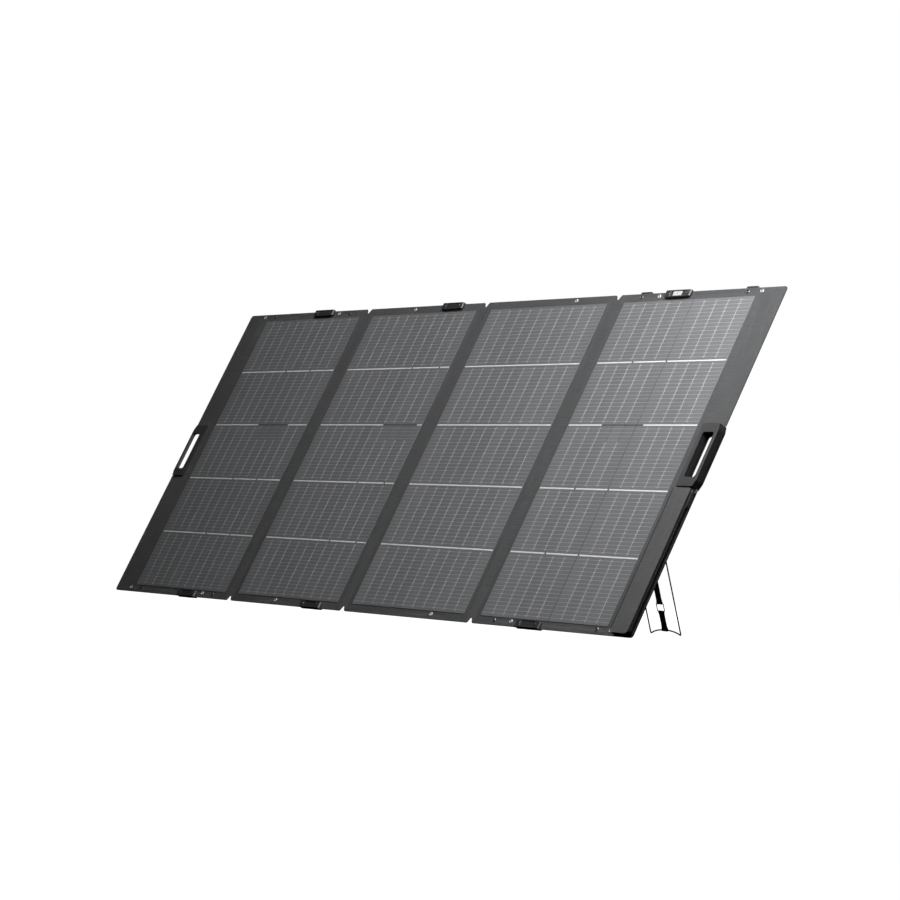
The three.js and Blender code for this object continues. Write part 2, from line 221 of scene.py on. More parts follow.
def sheet_matrix():
    """From the sheet's millimetres to the row frame's metres."""
    low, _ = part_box("panel_1_board")
    corner = Vector((low.x, low.y, low.z + BOARD * MM * math.cos(TILT)))
    return Matrix.Translation(corner) @ Matrix.Rotation(TILT, 4, "X") @ Matrix.Scale(MM, 4)


SHEET = sheet_matrix()


def sheet_point(u, v, n):
    """A point given on the sheet's axes, in the row frame's metres."""
    return SHEET @ Vector((u, v, n))


# ---- materials

class Nodes:
    """A material's node tree with short ways to add and join nodes."""

    def __init__(self, name):
        self.material = bpy.data.materials.new(name)
        self.material.use_nodes = True
        self.tree = self.material.node_tree
        self.shader = self.tree.nodes["Principled BSDF"]

    def add(self, kind, **inputs):
        """A new shader node of that kind with some of its inputs set."""
        node = self.tree.nodes.new("ShaderNode" + kind)
        for key, value in inputs.items():
            self.put(node, key, value)
        return node

    def put(self, node, key, value):
        """Sets an input, or joins it to another node's output."""
        key = key if isinstance(key, int) else key.replace("_", " ")
        socket = node.inputs[key]
        if isinstance(value, bpy.types.NodeSocket):
            self.tree.links.new(value, socket)
        else:
            socket.default_value = value

    def math(self, operation, first, second=0.0):
        """The output of one arithmetic node."""
        node = self.add("Math")
        node.operation = operation
        for index, value in enumerate((first, second)):
            self.put(node, index, value)
        return node.outputs[0]

    def noise(self, scale, detail=3.0, vector=None):
        """Smooth noise from 0 to 1, over the object unless a vector is given."""
        node = self.add("TexNoise", Scale=scale, Detail=detail)
        self.put(node, "Vector", vector or self.place())
        return node.outputs["Fac"]

    def place(self):
        """The object's own coordinates, in metres."""
        return self.add("TexCoord").outputs["Object"]

    def along_sheet(self):
        """Object coordinates turned so that x, y and z run along u, v and n."""
        turn = self.add("Mapping", Vector=self.place(), Rotation=(-TILT, 0, 0))
        return self.add("SeparateXYZ", Vector=turn.outputs[0]).outputs

    def spread(self, value, low, high):
        """A value from 0 to 1 mapped to low to high."""
        node = self.add("MapRange", Value=value)
        self.put(node, "To Min", low)
        self.put(node, "To Max", high)
        return node.outputs[0]

    def tint(self, color, factor):
        """A colour multiplied by a factor that varies over the surface."""
        node = self.add("VectorMath")
        node.operation = "SCALE"
        self.put(node, 0, color[:3])
        self.put(node, "Scale", factor)
        return node.outputs[0]

    def bump(self, height, distance, strength=1.0, under=None):
        """A normal raised by a height, on top of another normal if one is given."""
        node = self.add("Bump", Height=height, Distance=distance, Strength=strength)
        if under is not None:
            self.put(node, "Normal", under)
        return node.outputs[0]

    def surface(self, **inputs):
        """Sets inputs of the surface shader."""
        for key, value in inputs.items():
            self.put(self.shader, key, value)
        return self.material


def weave(nodes, across, along, pitch):
    """Plain weave: the height of whichever thread lies on top, from 0 to 1."""
    turn = math.pi / (pitch * MM)
    a = nodes.math("MULTIPLY", across, turn)
    b = nodes.math("MULTIPLY", along, turn)
    side = nodes.math("MULTIPLY", nodes.math("SINE", a), nodes.math("SINE", b))
    top = nodes.math("GREATER_THAN", side, 0.0)
    warp = nodes.math("ABSOLUTE", nodes.math("SINE", a))
    weft = nodes.math("ABSOLUTE", nodes.math("SINE", b))
    shown = nodes.math("MULTIPLY", warp, top)
    hidden = nodes.math("MULTIPLY", weft, nodes.math("SUBTRACT", 1.0, top))
    return nodes.math("ADD", shown, hidden)


def cloth_material(name, color, pitch, relief=0.25, edge_line=False):
    """Woven synthetic cloth with thread relief, uneven dye and a soft sheen."""
    nodes = Nodes(name)
    u, v, _ = nodes.along_sheet()
    threads = weave(nodes, u, v, pitch)
    mottle = nodes.spread(nodes.noise(9.0, 4.0), 0.93, 1.07)
    shade = nodes.math("MULTIPLY", nodes.spread(threads, 0.7, 1.24), mottle)
    for across, along in ((420.0, 14.0), (14.0, 420.0)):
        slub = nodes.noise(1.0, 2.0, nodes.add("CombineXYZ", X=nodes.math("MULTIPLY", u, across),
                                               Y=nodes.math("MULTIPLY", v, along)).outputs[0])
        shade = nodes.math("MULTIPLY", shade, nodes.spread(slub, 0.7, 1.3))
    normal = nodes.bump(threads, relief * MM, 0.6)
    if edge_line:
        half = HEIGHT * MM / 2
        from_middle = nodes.math("ABSOLUTE", nodes.math("SUBTRACT", v, sheet_middle_v()))
        border = nodes.math("GREATER_THAN", from_middle, half - EDGE_TAPE * MM)
        normal = nodes.bump(nodes.math("SUBTRACT", 1.0, border), 0.4 * MM, 1.0, normal)
    rough = nodes.spread(nodes.noise(60.0), 0.72, 0.86)
    nodes.surface(Base_Color=nodes.tint(color, shade), Roughness=rough, Normal=normal)
    return nodes.surface(Sheen_Weight=0.04, Sheen_Roughness=0.5, Specular_IOR_Level=0.25)


def sheet_middle_v():
    """The middle of the sheet's height, measured as along_sheet measures v."""
    turned = Matrix.Rotation(-TILT, 4, "X") @ sheet_point(0, HEIGHT / 2, 0)
    return turned.y


def plastic_material(name, color, roughness, clean=False):
    """Moulded plastic: fine spark-eroded grain and slightly uneven gloss."""
    nodes = Nodes(name)
    grains = nodes.noise(2600.0, 2.0)
    handled = nodes.noise(38.0, 3.0)
    shade = nodes.spread(handled, 0.97 if clean else 0.9, 1.03 if clean else 1.1)
    rough = nodes.spread(handled, roughness - 0.06, roughness + 0.08)
    normal = nodes.bump(grains, PLASTIC_GRAIN * MM, 0.8)
    return nodes.surface(Base_Color=nodes.tint(color, shade), Roughness=rough, Normal=normal)


def metal_material(name, color, roughness, metallic=1.0):
    """Plated or blackened metal with fine streaks."""
    nodes = Nodes(name)
    streaks = nodes.noise(420.0, 4.0)
    rough = nodes.spread(streaks, roughness - 0.08, roughness + 0.1)
    shade = nodes.spread(nodes.noise(90.0), 0.88, 1.08)
    normal = nodes.bump(streaks, 0.02 * MM, 0.5)
    nodes.surface(Base_Color=nodes.tint(color, shade), Roughness=rough, Normal=normal)
    return nodes.surface(Metallic=metallic)


def cell_material():
    """Silicon under an embossed film: vertical fingers, and a tone that differs between cells."""
    nodes = Nodes("solar_cell")
    u = nodes.along_sheet()[0]
    tone = nodes.add("Attribute")
    tone.attribute_name = "tone"
    fingers = nodes.math("SINE", nodes.math("MULTIPLY", u, 2 * math.pi / (1.5 * MM)))
    shade = nodes.math("MULTIPLY", tone.outputs["Fac"], nodes.spread(nodes.noise(14.0, 5.0), 0.94, 1.06))
    shade = nodes.math("MULTIPLY", shade, nodes.math("ADD", nodes.math("MULTIPLY", fingers, 0.04), 1.0))
    dimples = nodes.add("TexVoronoi", Scale=900.0, Vector=nodes.place())
    normal = nodes.bump(dimples.outputs["Distance"], 0.12 * MM, 0.35)
    rough = nodes.spread(nodes.noise(25.0), 0.42, 0.5)
    nodes.surface(Base_Color=nodes.tint(CELL_COLOR, shade), Roughness=rough, Normal=normal)
    return nodes.surface(Coat_Weight=0.25, Coat_Roughness=0.35, Specular_IOR_Level=0.45)


def film_material(name, color, roughness):
    """What the film covers beside the cells: backing, wires, ribbons and tape."""
    nodes = Nodes(name)
    shade = nodes.spread(nodes.noise(240.0, 3.0), 0.88, 1.12)
    dimples = nodes.add("TexVoronoi", Scale=900.0, Vector=nodes.place())
    normal = nodes.bump(dimples.outputs["Distance"], 0.1 * MM, 0.3)
    nodes.surface(Base_Color=nodes.tint(color, shade), Roughness=roughness, Normal=normal)
    return nodes.surface(Coat_Weight=0.2, Coat_Roughness=0.35)


def webbing_material():
    """Ribbed nylon webbing: ribs across the strap."""
    nodes = Nodes("webbing")
    u, v, n = nodes.along_sheet()
    ribs = weave(nodes, u, nodes.math("SUBTRACT", v, n), 1.3)
    mottle = nodes.spread(nodes.noise(60.0), 0.9, 1.1)
    shade = nodes.math("MULTIPLY", nodes.spread(ribs, 0.7, 1.2), mottle)
    nodes.surface(Base_Color=nodes.tint(WEBBING_COLOR, shade), Roughness=0.85)
    return nodes.surface(Normal=nodes.bump(ribs, 0.3 * MM, 0.8), Sheen_Weight=0.1)


FABRIC = cloth_material("charcoal_weave", FABRIC_COLOR, 1.6, edge_line=True)
FOLD_FABRIC = cloth_material("fold_weave", FABRIC_COLOR, 1.6)
POCKET_FABRIC = cloth_material("pocket_weave", POCKET_COLOR, 1.1, relief=0.15)
CELL = cell_material()
BACKING = film_material("cell_backing", BACKING_COLOR, 0.55)
WIRE_FILM = film_material("cell_wire", (0.4, 0.403, 0.407), 0.45)
PAD_FILM = film_material("wire_joint", (0.62, 0.62, 0.616), 0.45)
OVERLAP_FILM = film_material("wire_overlap", (0.5, 0.5, 0.5), 0.45)
DARK_FILM = film_material("dark_joint", (0.035, 0.036, 0.038), 0.6)
RIBBON_FILM = film_material("row_ribbon", (0.8, 0.8, 0.794), 0.45)
TAPE_FILM = film_material("masking_tape", (0.06, 0.061, 0.063), 0.55)
DARK_PLASTIC = plastic_material("dark_plastic", DARK_COLOR, 0.45)
CLIP_PLASTIC = plastic_material("clip_plastic", CLIP_COLOR, 0.4)
GREY_PLASTIC = plastic_material("grey_plastic", GREY_COLOR, 0.45)
WHITE_PLASTIC = plastic_material("white_plastic", WHITE_COLOR, 0.5, clean=True)
SCREW_STEEL = metal_material("black_screw", (0.12, 0.12, 0.125), 0.35)
WIRE_STEEL = metal_material("dark_wire", (0.01, 0.01, 0.0105), 0.65, 0.0)
BRIGHT_STEEL = metal_material("nickel", (0.5, 0.495, 0.49), 0.4, 0.5)
ZIP_NYLON = plastic_material("zip_nylon", NYLON_COLOR, 0.45)
# The pocket's walls in this darker cloth are painted shade.
SHADED_WALL_AND_EDGE_LINE_FABRIC = cloth_material("shaded_wall_and_edge_line_weave", SHADED_WALL_AND_EDGE_LINE_COLOR, 1.1, relief=0.15)
WEBBING = webbing_material()
THREAD = cloth_material("thread", THREAD_COLOR, 0.6, relief=0.1)


# ---- mesh helpers

def grow(bm, rings, closed=False):
    """Joins rings of points with quads. Closed joins the last ring to the first; open caps both."""
    rows = [[bm.verts.new(p) for p in ring] for ring in rings]
    count = len(rows[0])
    pairs = list(zip(rows, rows[1:])) + ([(rows[-1], rows[0])] if closed else [])
    for low, high in pairs:
        for i in range(count):
            j = (i + 1) % count
            bm.faces.new((low[i], low[j], high[j], high[i]))
    if not closed:
        bm.faces.new(list(reversed(rows[0])))
        bm.faces.new(rows[-1])


def prism(bm, outline, n0, n1, inset=0.0):
    """A flat outline with thickness. Inset draws the top in, as a chamfer of that width and height."""
    rings = [[(u, v, n0) for u, v in outline], [(u, v, n1 - inset) for u, v in outline]]
    if inset:
        cu = sum(u for u, _ in outline) / len(outline)
        cv = sum(v for _, v in outline) / len(outline)
        rings.append([(drawn_in(u, cu, inset), drawn_in(v, cv, inset), n1) for u, v in outline])
    grow(bm, rings)


def drawn_in(value, middle, inset):
    """A coordinate moved towards the middle by an inset, and not past it."""
    away = value - middle
    return value - math.copysign(min(inset, abs(away)), away)


def rectangle(u0, u1, v0, v1):
    """An outline between two limits in u and two in v."""
    return [(u0, v0), (u1, v0), (u1, v1), (u0, v1)]


def rounded(u0, u1, v0, v1, radius, steps=6, runs=1):
    """A rectangle with round corners; runs splits each straight side into that many stretches."""
    corners = ((u1 - radius, v0 + radius, -90), (u1 - radius, v1 - radius, 0),
               (u0 + radius, v1 - radius, 90), (u0 + radius, v0 + radius, 180))
    points = []
    for cu, cv, start in corners:
        arc = []
        for k in range(steps + 1):
            angle = math.radians(start + 90 * k / steps)
            arc.append((cu + radius * math.cos(angle), cv + radius * math.sin(angle)))
        if points:
            points += stretch(points[-1], arc[0], runs)
        points += arc
    return points + stretch(points[-1], points[0], runs)


def stretch(first, last, runs):
    """The points between two ends of a straight side that is split into runs."""
    return [tuple(a + (b - a) * k / runs for a, b in zip(first, last)) for k in range(1, runs)]


def tube(bm, points, radius, sides=12, closed=False):
    """A round tube along points, with its frame carried along without twist."""
    points = [Vector(p) for p in points]
    count = len(points)
    rings = []
    side = None
    for i, point in enumerate(points):
        before = points[i - 1] if closed or i else point
        after = points[(i + 1) % count] if closed or i < count - 1 else point
        ahead = (after - before).normalized()
        if side is None:
            side = ahead.orthogonal()
        side = (side - ahead * side.dot(ahead)).normalized()
        up = ahead.cross(side)
        turns = (2 * math.pi * k / sides for k in range(sides))
        rings.append([point + radius * (math.cos(a) * side + math.sin(a) * up) for a in turns])
    grow(bm, rings, closed)


def lathe(bm, centre, profile, sides=28):
    """A closed profile of (radius, n) turned about n at a point of the sheet."""
    cu, cv = centre
    rings = []
    for k in range(sides):
        angle = 2 * math.pi * k / sides
        rings.append([(cu + r * math.cos(angle), cv + r * math.sin(angle), n) for r, n in profile])
    grow(bm, rings, closed=True)


def band(bm, path, width, thick, closed=False):
    """A flat strap of that width along x, following a path of (y, z) points."""
    count = len(path)
    rings = []
    for i, (y, z) in enumerate(path):
        y0, z0 = path[i - 1] if closed or i else path[i]
        y1, z1 = path[(i + 1) % count] if closed or i < count - 1 else path[i]
        out = Vector((z1 - z0, y0 - y1)).normalized() * thick / 2
        half = width / 2
        flat = half - 0.35 * thick
        section = ((-flat, 1), (flat, 1), (half, 0.35), (half, -0.35),
                   (flat, -1), (-flat, -1), (-half, -0.35), (-half, 0.35))
        rings.append([(x, y + out.x * k, z + out.y * k) for x, k in section])
    grow(bm, rings, closed)


def dress(obj, material, body, slot, bevel=0.0, replaces=(), angle=32):
    """Gives an object its finish, its soft edges, its body and the CAD nodes that it stands for."""
    obj.data.materials.clear()
    obj.data.materials.append(material)
    obj.data.shade_smooth()
    obj.data.set_sharp_from_angle(angle=math.radians(angle))
    if bevel:
        soften = obj.modifiers.new("soften", "BEVEL")
        soften.width = bevel * MM
        soften.segments = 3
        soften.limit_method = "ANGLE"
        soften.angle_limit = math.radians(30)
        soften.harden_normals = True
    if body:
        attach(obj, body)
    if replaces:
        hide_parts(*replaces)
    return obj


def add_object(name, data):
    """A new object in the scene."""
    obj = bpy.data.objects.new(name, data)
    bpy.context.scene.collection.objects.link(obj)
    return obj


def add_mesh(name, bm):
    """Collected geometry as a new object in the scene."""
    mesh = bpy.data.meshes.new(name)
    bm.to_mesh(mesh)
    bm.free()
    return add_object(name, mesh)


def piece(name, bm, material, body, slot, place=None, **finish):
    """Turns collected geometry into a finished object."""
    bmesh.ops.recalc_face_normals(bm, faces=bm.faces)
    bm.transform(place or SHEET)
    return dress(add_mesh(name, bm), material, body, slot, **finish)


def refine(node, material, slot, bevel):
    """A CAD piece whose shape is right, remade with clean faces and softened edges."""
    source = frame["nodes"][node]
    bm = bmesh.new()
    bm.from_mesh(source.data)
    bmesh.ops.remove_doubles(bm, verts=bm.verts, dist=0.00002)
    bmesh.ops.dissolve_limit(bm, angle_limit=math.radians(1), verts=bm.verts, edges=bm.edges)
    body = source["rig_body"]
    return piece(node + "_fine", bm, material, body, slot, Matrix.Identity(4), bevel=bevel, replaces=[node])


def add_screw(bm, u, v, n, radius=2.6, front=True):
    """A pan head with a cross recess, standing on a face at height n."""
    way = 1 if front else -1
    top = 1.2
    profile = [(radius, 0), (radius, 0.5), (radius * 0.85, 1), (radius * 0.45, top), (0.05, top), (0.05, 0)]
    lathe(bm, (u, v), [(r, n + way * h) for r, h in profile], 18)
    arm, half = radius * 0.55, radius * 0.13
    for du, dv in ((arm, half), (half, arm)):
        block(bm, (u, v), (du, dv), n + way * (top - 0.04), n + way * (top + 0.06))


def make_rear_screws(name, across, heights, back, radius, body):
    """The screws behind one fitting, at each u in across and each v in heights."""
    screws = bmesh.new()
    for u in across:
        for v in heights:
            add_screw(screws, u, v, back, radius, front=False)
    piece(name, screws, SCREW_STEEL, body, "ring_steel")


def block(bm, centre, half, n0, n1):
    """A rectangular block on the sheet, from its centre and half sizes."""
    (u, v), (du, dv) = centre, half
    prism(bm, rectangle(u - du, u + du, v - dv, v + dv), n0, n1)


# ---- the sheet

def flat_mesh(outline, holes, low, high):
    """A plate between two heights, with holes through it and rounded edges, in sheet millimetres."""
    curve = bpy.data.curves.new("outline", "CURVE")
    curve.dimensions = "2D"
    curve.fill_mode = "BOTH"
    curve.extrude = (high - low) / 2 - BOARD_ROUND
    curve.bevel_depth = BOARD_ROUND
    curve.bevel_resolution = 2
    curve.offset = -BOARD_ROUND
    for loop in [outline] + holes:
        spline = curve.splines.new("POLY")
        spline.points.add(len(loop) - 1)
        for point, (u, v) in zip(spline.points, loop):
            point.co = (u, v, 0, 1)
        spline.use_cyclic_u = True
    carrier = add_object("outline", curve)
    bpy.context.view_layer.update()
    graph = bpy.context.evaluated_depsgraph_get()
    mesh = bpy.data.meshes.new_from_object(carrier.evaluated_get(graph))
    bpy.data.objects.remove(carrier)
    bm = bmesh.new()
    bm.from_mesh(mesh)
    bpy.data.meshes.remove(mesh)
    bmesh.ops.translate(bm, verts=bm.verts, vec=(0, 0, (low + high) / 2))
    bmesh.ops.remove_doubles(bm, verts=bm.verts, dist=0.001)
    return bm


def circle(u, v, radius):
    """A round outline."""
    angles = [math.pi * k / 10 for k in range(20)]
    return [(u + radius * math.cos(a), v + radius * math.sin(a)) for a in angles]


def eyelet_places(section):
    """Centres of a section's eyelets, with True for the nickel ones."""
    low, high = SECTION_ENDS[section - 1:section + 1]
    for bright, places in ((True, BRIGHT_EYELETS), (False, DARK_EYELETS)):
        for u in places:
            if low < u < high:
                for v in EYELET_V:
                    if not over_pocket(u, v):
                        yield (u, v), bright


def over_pocket(u, v):
    """Whether the cable pocket covers a point."""
    return u > POCKET["u"][0] - 4 and v < POCKET["v"][1]


def corner_arc(u, v, from_u, from_v):
    """A quarter circle round an outer corner, from its end on one edge to its end on the other."""
    cu = u + math.copysign(CORNER, WIDTH / 2 - u)
    cv = v + math.copysign(CORNER, HEIGHT / 2 - v)
    start = math.atan2(from_v - cv, from_u - cu)
    end = math.atan2(v - cv, u - cu) * 2 - start
    turn = (end - start + math.pi) % (2 * math.pi) - math.pi
    return [(cu + CORNER * math.cos(start + turn * k / 6), cv + CORNER * math.sin(start + turn * k / 6))
            for k in range(7)]


def board_outline(section):
    """A section's board between its fold lines, cut away at the edge where a handle passes through."""
    left = SECTION_ENDS[section - 1] + (FOLD_HALF if section > 1 else 0)
    right = SECTION_ENDS[section] - (FOLD_HALF if section < 4 else 0)
    if section in (2, 3):
        return rectangle(left, right, 0, HEIGHT)
    handle = HANDLES["left" if section == 1 else "right"]
    v0, v1 = handle["v"]
    if section == 1:
        rim = handle["slot"][1] + HANDLE_RIM
        top = corner_arc(0, HEIGHT, CORNER, HEIGHT)
        low = corner_arc(0, 0, 0, CORNER)
        return [(right, 0), (right, HEIGHT)] + top + [(0, v1), (rim, v1), (rim, v0), (0, v0)] + low
    rim = handle["slot"][0] - HANDLE_RIM
    low = corner_arc(WIDTH, 0, WIDTH - CORNER, 0)
    top = corner_arc(WIDTH, HEIGHT, WIDTH, HEIGHT - CORNER)
    return [(left, HEIGHT), (left, 0)] + low + [(WIDTH, v0), (rim, v0), (rim, v1), (WIDTH, v1)] + top


def make_boards():
    """The cloth-covered boards, with a hole for each eyelet."""
    for section in SECTIONS:
        holes = [circle(u, v, EYELET_HOLE) for (u, v), _ in eyelet_places(section)]
        bm = flat_mesh(board_outline(section), holes, -BOARD, 0)
        node = f"panel_{section}_board"
        piece(node + "_cloth", bm, FABRIC, f"section_{section}", "fabric", replaces=[node], angle=24)


def notch(offset):
    """The depth of a fold's blunt V notch at an offset from the fold line."""
    share = (abs(offset) - NOTCH_TIP) / (NOTCH_HALF - NOTCH_TIP)
    return NOTCH_DEPTH * (1 - min(max(share, 0), 1)) ** 1.7


def make_folds():
    """The bare cloth between boards: a flat strip with a blunt V notch at each edge."""
    reach = FOLD_HALF + 0.6
    offsets = [reach * (k / 16 - 1) for k in range(33)]
    for index, line in enumerate(FOLD_LINES):
        bm = bmesh.new()
        rings = []
        for offset in offsets:
            u = line + offset
            low, high = notch(offset), HEIGHT - notch(offset)
            rings.append([(u, low, 0.02), (u, high, 0.02), (u, high, FOLD_BACK), (u, low, FOLD_BACK)])
        grow(bm, rings)
        fold = piece(f"fold_{index + 1}_cloth", bm, FOLD_FABRIC, None, "fold_fabric",
                     replaces=[f"fold_{index + 1}_fabric"])
        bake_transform(fold)


def make_cells():
    """Backing sheet, cells, wires, joints and ribbons of each section."""
    for section in SECTIONS:
        left = CELL_LEFT[section]
        right = left + (COLUMNS - 1) * CELL_PITCH[0] + CELL_SIZE[0]
        top = CELL_BOTTOM + (ROWS - 1) * CELL_PITCH[1] + CELL_SIZE[1]
        body = f"section_{section}"
        bm = bmesh.new()
        prism(bm, rounded(left - 1, right + 1, CELL_BOTTOM - 1, top + 1, 2, 4), 0.02, BACKING_TOP, 0.3)
        cell_layer(body, "backing", bm, BACKING, replaces=[f"panel_{section}_cell_laminate"])
        make_cell_tiles(left, body)
        make_wires(section, left, right, body)
        make_ribbons(section, left, right, body)


def cell_layer(body, kind, bm, material, **finish):
    """One layer of a section's cells as a piece. A layer with nothing in it is dropped."""
    if bm.faces:
        piece(f"{body}_{kind}", bm, material, body, "cells", **finish)
    else:
        bm.free()


def make_cell_tiles(left, body):
    """The cells of one section, each with its own tone."""
    bm = bmesh.new()
    tone = bm.faces.layers.float.new("tone")
    for column in range(COLUMNS):
        for row in range(ROWS):
            u = left + column * CELL_PITCH[0]
            v = CELL_BOTTOM + row * CELL_PITCH[1]
            known = len(bm.faces)
            prism(bm, rectangle(u, u + CELL_SIZE[0], v, v + CELL_SIZE[1]), 0.7, CELL_TOP, 0.2)
            bm.faces.ensure_lookup_table()
            shade = random.uniform(0.95, 1.05)
            for face in bm.faces[known:]:
                face[tone] = shade
    cell_layer(body, "cells", bm, CELL)


def wire_heights():
    """Each wire's row, its place in the row from the top, and its height on the sheet."""
    for row in range(ROWS):
        for k in range(WIRES):
            middle = CELL_BOTTOM + row * CELL_PITCH[1] + CELL_SIZE[1] / 2
            v = middle + (k - (WIRES - 1) / 2) * WIRE_PITCH
            yield row, WIRES - 1 - k, v


def make_wires(section, left, right, body):
    """The fine wires, with their overlaps and joints in the gaps between columns."""
    gaps = {g: left + g * CELL_PITCH[0] - 0.75 for g in range(1, COLUMNS)}
    broken = gaps[STRING_BREAK[1]] if section == STRING_BREAK[0] else None
    breaks = RIBBON_BREAKS[section]
    taped = (left + breaks[0] + TAPE[0], left + breaks[0] + TAPE[1]) if breaks else (0, 0)
    wires, joints, overlaps, dark_joints = (bmesh.new() for _ in range(4))
    for row, from_top, v in wire_heights():
        runs = [(left + 0.6, right - 0.6)]
        if broken:
            runs = [(left + 0.6, broken - 1.6), (broken + 1.6, right - 0.6)]
        for start, end in runs:
            prism(wires, rectangle(start, end, v - WIRE_HALF, v + WIRE_HALF), 0.95, 1.08, 0.05)
        for u in gaps.values():
            in_tape = taped[0] + 30 < u < taped[1]
            under_tape = row == TAPED_ROW_GAP - 1 and from_top < TAPED_WIRES and in_tape
            if u != broken and not under_tape:
                block(overlaps, (u, v), OVERLAP_HALF, 0.97, 1.11)
                for dv in (-WIRE_PITCH / 3, 0, WIRE_PITCH / 3):
                    block(joints, (u, v + dv), JOINT_HALF, 0.9, 1.13)
            else:
                block(dark_joints, (u, v), (0.9, WIRE_PITCH / 2), 0.9, 1.05)
    cell_layer(body, "wires", wires, WIRE_FILM)
    cell_layer(body, "wire_joints", joints, PAD_FILM)
    cell_layer(body, "wire_overlaps", overlaps, OVERLAP_FILM)
    cell_layer(body, "dark_joints", dark_joints, DARK_FILM)


def make_ribbons(section, left, right, body):
    """The white line in each gap between rows, with its breaks, and the taped stretch."""
    ribbons, tape = bmesh.new(), bmesh.new()
    breaks = [left + b for b in RIBBON_BREAKS[section]]
    for gap in range(1, ROWS):
        v = CELL_BOTTOM + gap * CELL_PITCH[1] - 1.5
        cuts = [(b - RIBBON_CUT, b + RIBBON_CUT) for b in breaks]
        if gap == TAPED_ROW_GAP and breaks:
            cuts = [(breaks[0] + TAPE[0], breaks[0] + TAPE[1])]
            prism(tape, rectangle(*cuts[0], v - TAPE_HALF, v + TAPE_HALF), BACKING_TOP, 1.14, 0.1)
        edges = [left + 3] + [x for cut in cuts for x in cut] + [right - 0.5]
        for start, end in zip(edges[::2], edges[1::2]):
            prism(ribbons, rectangle(start, end, v - RIBBON_HALF, v + RIBBON_HALF), BACKING_TOP, 1.12, 0.1)
    cell_layer(body, "ribbons", ribbons, RIBBON_FILM)
    cell_layer(body, "tape", tape, TAPE_FILM)


def make_eyelets():
    """Rolled metal eyelets through the board, nickel or black."""
    profile = list(EYELET_RIM) + [(r, -BOARD - n) for r, n in reversed(EYELET_RIM)]
    for section in SECTIONS:
        for kind, material in ((True, BRIGHT_STEEL), (False, SCREW_STEEL)):
            centres = [c for c, bright in eyelet_places(section) if bright == kind]
            if centres:
                bm = bmesh.new()
                for centre in centres:
                    lathe(bm, centre, profile)
                name = f"section_{section}_{'nickel' if kind else 'black'}_eyelets"
                piece(name, bm, material, f"section_{section}", "ring_steel", angle=50)


# ---- fittings

def clip_heights():
    """Along the clip: u with the heights of its long edges and of its middle, from end to end."""
    half = CLIP_LENGTH / 2
    right = [(CLIP_DISH - 3, CLIP_FACE, CLIP_FLOOR), (CLIP_DISH, CLIP_FACE, CLIP_FACE),
             (half - 3.2, CLIP_FACE, CLIP_FACE), (half - 0.2, CLIP_FACE - 3.6, CLIP_FACE - 3.6)]
    return [(-u, edge, middle) for u, edge, middle in reversed(right)] + right


def make_clip_cover(name, centre, edge, body):
    """The clip's moulded front half: a dish with raised edges, its inner corners cut back."""
    low, high = CLIP_REACH
    bm = bmesh.new()
    rings = []
    for u, n, middle in clip_heights():
        from_end = CLIP_LENGTH / 2 - abs(u)
        cut = 4.5 * max(0, 1 - from_end / 7) ** 2
        inner = high - cut
        ring = [(low, 0.1), (low, n - 0.5), (low + 0.5, n), (low + 2.4, n), (low + 3.2, middle),
                (inner - 3.2, middle), (inner - 2.4, n), (inner - 0.6, n), (inner, n - 0.6), (inner, 0.1)]
        if edge == "top":
            ring = [(HEIGHT - v, z) for v, z in reversed(ring)]
        rings.append([(centre + u, v, z) for v, z in ring])
    grow(bm, rings)
    piece(name + "_shell", bm, CLIP_PLASTIC, body, "dark_plastic", bevel=0.35, replaces=[name], angle=20)


def make_clips():
    """The six clips with their screws, and the sighting square in one of them."""
    for section, centre in CLIP_CENTRES.items():
        body = f"section_{section}"
        for edge, v in (("bottom", CLIP_MIDDLE), ("top", HEIGHT - CLIP_MIDDLE)):
            cover = f"panel_{section}_{edge}_clip_cover"
            make_clip_cover(cover, centre, edge, body)
            refine(f"panel_{section}_{edge}_clip_plate", DARK_PLASTIC, "dark_plastic", 0.9)
            screws = bmesh.new()
            for side in (-1, 1):
                add_screw(screws, centre + side * CLIP_SCREW, v, CLIP_FACE, 3.0)
                add_screw(screws, centre + side * CLIP_SCREW, v, CLIP_BACK, 2.6, front=False)
            piece(cover + "_screws", screws, SCREW_STEEL, body, "ring_steel")
    make_sun_target(CLIP_CENTRES[4], HEIGHT - CLIP_MIDDLE)


def make_sun_target(u, v):
    """The white sighting square with a pin in its middle."""
    half_u, half_v = TARGET
    square = bmesh.new()
    outline = rounded(u - half_u, u + half_u, v - half_v, v + half_v, 1.5)
    prism(square, outline, TARGET_TOP - 2.2, TARGET_TOP, 0.3)
    piece("sun_target_plate", square, WHITE_PLASTIC, "section_4", "white_plastic", replaces=["sun_target"])
    pin = bmesh.new()
    foot, head = TARGET_TOP - 0.1, TARGET_TOP + 0.4
    lathe(pin, (u, v), [(1.6, foot), (1.6, head - 0.2), (1.2, head), (0.05, head), (0.05, foot)], 20)
    piece("sun_target_pin", pin, DARK_PLASTIC, "section_4", "dark_plastic")


def paint_wall_shade(shell, material):
    """Paints shade on a shell's outer walls and slot walls: they get a darker plastic than its face."""
    shell.data.materials.append(material)
    to_sheet = SHEET.inverted().to_3x3()
    for polygon in shell.data.polygons:
        if (to_sheet @ polygon.normal).normalized().z < SHADED_WALL_FACING:
            polygon.material_index = 1


